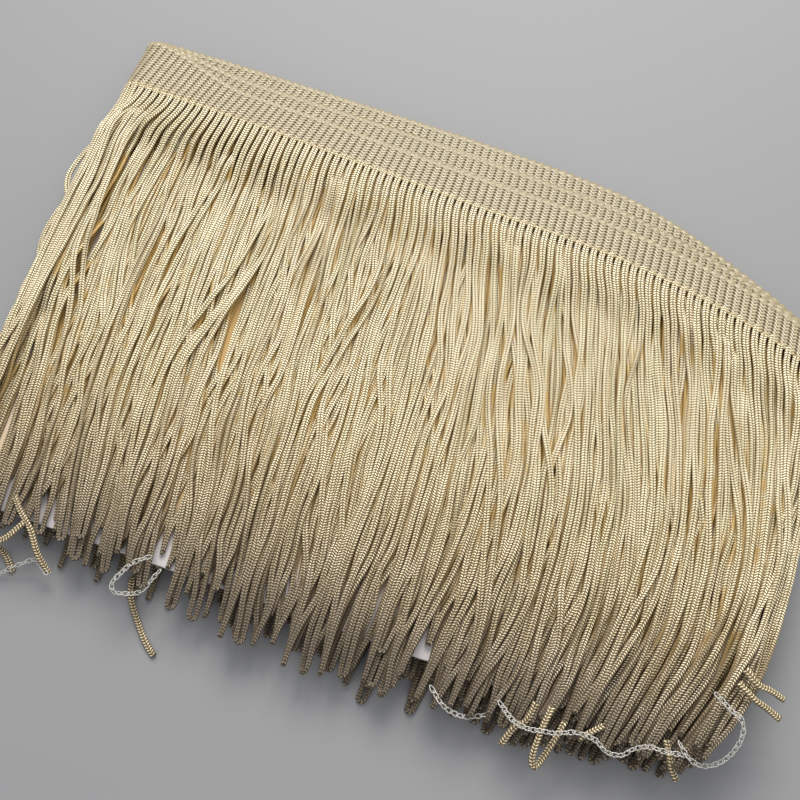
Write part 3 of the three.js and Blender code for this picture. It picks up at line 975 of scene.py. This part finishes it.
# %% Chain thread
LINK_STEP, LINK_LONG, LINK_WIDE, THREAD = 1.5, 2.2, 0.52, 0.15
LINK_POINTS, THREAD_SIDES = 14, 5
CHAINS = [
    [(-44, -70), (-47, -73), (-49, -77), (-50, -79), (-49, -81), (-46, -80), (-43, -78), (-41, -72)],
    [(-90, -83), (-83, -85), (-80, -83), (-77, -81), (-74, -79), (-70, -81)],
    [(53, -75), (57, -78), (61, -79), (64, -78.5), (67, -78), (72, -76), (77, -76), (80, -77.5),
     (84, -77), (86, -75), (89, -73.5), (93, -73.5), (97, -73)],
    [(96, -71), (98, -73), (101, -74), (104, -73), (107.5, -69.6), (109, -65), (108, -61.5),
     (104.5, -60), (101, -58)],
    [(36, -77), (40, -80), (45, -80.5), (50, -78)],
]


def thread_material():
    made, shader, start = material("silvery_thread", Specular_IOR_Level=1.0, Sheen_Weight=0.1)
    # The thread is darker in the grooves of its twist: painted shade.
    twist = (read(start, "along") * 9).wave()
    plug(shader, "Base Color", twist.tint((0.30, 0.28, 0.24), (0.66, 0.64, 0.57)))
    plug(shader, "Roughness", 0.42 - twist * 0.14)
    plug(shader, "Normal", relief(start, twist, 0.6, 0.06))
    return made


def chain_link(centre, forward, tilt):
    """A long loop of thread with round ends."""
    turn = np.linspace(0, 2 * math.pi, LINK_POINTS + 1)[:-1]
    sideways = unit(np.cross(forward, [0, 0, 1.0]))
    flat = sideways * math.cos(tilt) + np.array([0, 0, 1.0]) * math.sin(tilt)
    line = centre + (forward * np.cos(turn)[:, None] * LINK_LONG / 2
                     + flat * np.sin(turn)[:, None] * LINK_WIDE * (1 + 0.35 * np.cos(turn))[:, None])
    outward = unit(line - centre)
    normal = np.cross(forward, flat)
    around = np.linspace(0, 2 * math.pi, THREAD_SIDES + 1)[:-1]
    rings = line[:, None] + THREAD * (outward[:, None] * np.cos(around)[None, :, None]
                                      + normal * np.sin(around)[None, :, None])
    index = np.arange(LINK_POINTS * THREAD_SIDES).reshape(LINK_POINTS, THREAD_SIDES)
    ahead = np.roll(index, -1, 0)
    faces = np.stack([index, ahead, np.roll(ahead, -1, 1), np.roll(index, -1, 1)], -1).reshape(-1, 4)
    return rings.reshape(-1, 3), faces, {"along": np.repeat(turn, THREAD_SIDES)}


def chain(points):
    line = evenly(on_the_floor(points), LINK_STEP)
    line[:, 2] += THREAD - CORD_RISE + 0.15
    forward = unit(np.gradient(line, axis=0))
    return [chain_link(p, f, 0.45 * (-1) ** i + 0.2 * rng.normal())
            for i, (p, f) in enumerate(zip(line, forward))]


links = [link for points in CHAINS for link in chain(points)]
print(len(links), "chain links")
mesh_object("chain_thread", *joined(links), "strands", thread_material())

# %% [markdown]
# The card is plain board with slightly rounded corners and soft edges. It is built as a tube too:
# each ring goes along the top face and back along the underside. Only its lower edge shows, pale and
# a little soiled; under the cords the warm light that they bounce onto it is painted into its colour.

# %% Card
CORNER = 2.5


def card_material():
    made, shader, start = material("soiled_card", Specular_IOR_Level=0.3)
    fibre = speckle(start, 2500.0, 3.0)
    soil = speckle(start, 60.0, 4.0).between(0.35, 0.75)
    board = (fibre * 0.5 + soil * 0.5).tint((0.60, 0.57, 0.56), (0.44, 0.40, 0.38))
    # The cords' warm bounced light, painted on where the card lies under them.
    plug(shader, "Base Color", read(start, "deep").tint(board, BOUNCE_GOLD))
    plug(shader, "Roughness", 0.62 + fibre * 0.25)
    plug(shader, "Normal", relief(start, fibre, 0.4, 0.08))
    return made


def card_plate():
    rim = np.array([0, 0.15, 0.5, 1.2, 2.5, 5.0])  # closer together near the rounded edge
    width = CARD_RIGHT - CARD_LEFT
    rows = np.arange(CARD_LOWER + 8, CARD_UPPER - 7, 2.5)
    rows = np.r_[CARD_LOWER + rim, rows, CARD_UPPER - rim[::-1]]
    columns = np.r_[rim, np.linspace(8, width - 8, 80), width - rim[::-1]] / width
    into_corner = CORNER - np.minimum(rows - CARD_LOWER, CARD_UPPER - rows).clip(0, CORNER)
    inset = CORNER - np.sqrt(CORNER ** 2 - into_corner ** 2)
    x = CARD_LEFT + inset[:, None] + (width - 2 * inset[:, None]) * columns[None, :]
    y = np.broadcast_to(rows[:, None], x.shape)
    to_edge = np.minimum(np.minimum(x - CARD_LEFT, CARD_RIGHT - x),
                         np.minimum(y - CARD_LOWER, CARD_UPPER - y))
    soft_edge = 0.2 * (1 - ramp(to_edge, 0, 0.8))
    top = np.stack([x, y, CARD_TOP - soft_edge], -1)
    bottom = np.stack([x, y, CARD_UNDER + soft_edge], -1)[:, ::-1]
    rings = np.concatenate([top, bottom], 1)
    # The painted warm light grows away from the card's edges, under the cords.
    deep = ramp(np.concatenate([to_edge, to_edge[:, ::-1]], 1), 4, 22) * 0.8
    return rings.reshape(-1, 3), closed_tube_faces(*rings.shape[:2]), {"deep": deep.ravel()}


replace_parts(mesh_object("card", *card_plate(), "card", card_material()), "card_core")

# %% [markdown]
# The floor is plain and pale. A wide soft light stands behind and above the heading, as a window
# would: it runs along the cords, so their backs gleam and the tips fall into shade. The world's
# even grey fills the shade on the floor, and a faint light from the right keeps the tips clear.

# %% Floor and light
floor_paint, floor_shader, floor_start = material("pale_floor", Roughness=0.6)
plug(floor_shader, "Base Color",
     speckle(floor_start, 3.0, 3.0).tint((0.185, 0.185, 0.185), (0.21, 0.21, 0.21)))
bpy.ops.mesh.primitive_plane_add(size=4.0, location=(0, 0, 0))
floor = bpy.context.object
floor.name = "floor"
floor.data.materials.append(floor_paint)


def area_light(name, place, size, power, colour):
    data = bpy.data.lights.new(name, "AREA")
    data.size, data.energy, data.color = size, power, colour
    light = bpy.data.objects.new(name, data)
    light.location = place
    light.rotation_euler = (aim - Vector(place)).to_track_quat("-Z", "Y").to_euler()
    bpy.context.scene.collection.objects.link(light)


area_light("window", place=(-0.2, 0.84, 0.9), size=0.8, power=20.2, colour=(1.0, 0.985, 0.96))
area_light("fill", place=(0.5, -0.6, 0.9), size=0.9, power=1.5, colour=(0.97, 0.98, 1.0))
world = bpy.data.worlds.new("room")
world.use_nodes = True
world.node_tree.nodes["Background"].inputs["Color"].default_value = (0.93, 0.95, 1.0, 1.0)
world.node_tree.nodes["Background"].inputs["Strength"].default_value = 0.85
bpy.context.scene.world = world
bpy.context.scene.view_settings.view_transform = "Standard"
